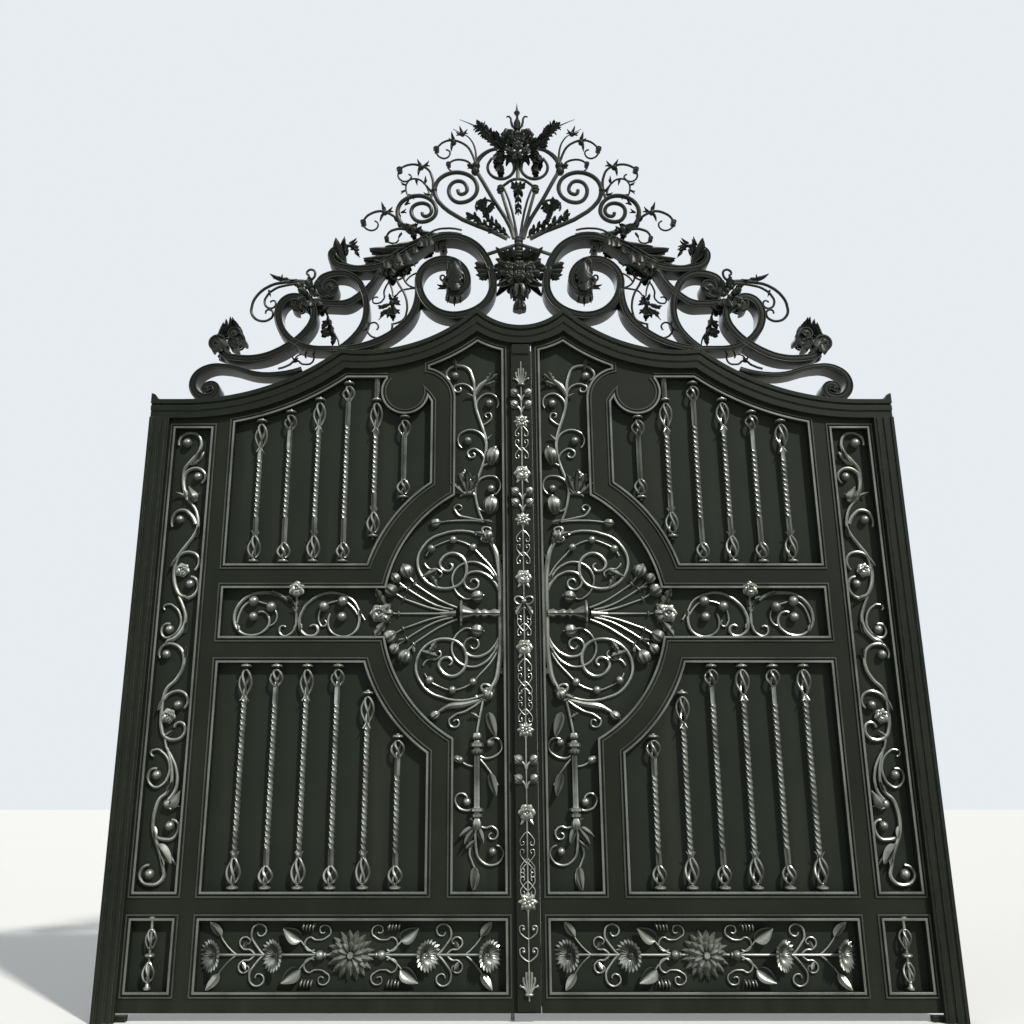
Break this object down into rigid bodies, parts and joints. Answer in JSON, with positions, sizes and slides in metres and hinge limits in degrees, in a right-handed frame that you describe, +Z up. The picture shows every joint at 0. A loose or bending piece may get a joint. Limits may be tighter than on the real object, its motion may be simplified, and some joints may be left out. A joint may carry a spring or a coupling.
{
  "type": "wrought iron driveway gate",
  "caption": "Double-leaf wrought iron driveway gate with moulded posts, an arched header, scrolled overthrow, twisted balusters, medallion scrollwork and a drop bolt.",
  "frame": {"origin": "centre of the left post's foot, on the ground, seen from the street", "axes": "+X from the left post to the right post, +Y inwards from the street, +Z up"},
  "size_m": [3.96, 0.127, 4.902],
  "materials": {
    "iron": "dark green-black satin paint",
    "pewter": "dark paint rubbed with pewter on its edges",
    "sheet": "dull dark grey-green paint",
    "steel": "dark painted steel"
  },
  "bodies": {
    "frame": {"left_post": "iron", "right_post": "iron", "header": "iron", "left_spiral": "iron", "right_spiral": "iron", "left_rings": "iron", "right_rings": "iron", "left_low_scroll": "iron", "right_low_scroll": "iron", "left_volutes": "iron", "right_volutes": "iron", "crest_fan": "iron", "crest_bouquet": "pewter", "crest_finial": "pewter", "crest_pendant": "pewter", "left_pintles": "steel", "right_pintles": "steel"},
    "left_leaf": {"left_leaf_frame": "iron", "left_leaf_sheet": "sheet", "left_leaf_mouldings": "pewter", "left_upper_balusters": "pewter", "left_lower_balusters": "pewter", "left_small_baluster": "pewter", "left_side_scroll": "pewter", "left_cross_scroll": "pewter", "left_medallion": "pewter", "left_vine": "pewter", "left_floral_panel": "pewter", "left_leaf_hinges": "steel", "meeting_strip": "iron", "strip_vine": "pewter", "bolt_guides": "steel"},
    "right_leaf": {"right_leaf_frame": "iron", "right_leaf_sheet": "sheet", "right_leaf_mouldings": "pewter", "right_upper_balusters": "pewter", "right_lower_balusters": "pewter", "right_small_baluster": "pewter", "right_side_scroll": "pewter", "right_cross_scroll": "pewter", "right_medallion": "pewter", "right_vine": "pewter", "right_floral_panel": "pewter", "right_leaf_hinges": "steel"},
    "drop_bolt": {"drop_bolt": "steel"}
  },
  "joints": [
    {"name": "left_leaf_hinge", "type": "hinge", "parent": "frame", "child": "left_leaf", "pos_m": [0.032, 0.047, 0.3], "axis": [0, 0, 1], "range_deg": [0, 90]},
    {"name": "right_leaf_hinge", "type": "hinge", "parent": "frame", "child": "right_leaf", "pos_m": [3.828, 0.047, 0.3], "axis": [0, 0, 1], "range_deg": [-90, 0]},
    {"name": "drop_bolt_slide", "type": "slide", "parent": "left_leaf", "child": "drop_bolt", "axis": [0, 0, 1], "range_m": [0, 0.08]}
  ]
}
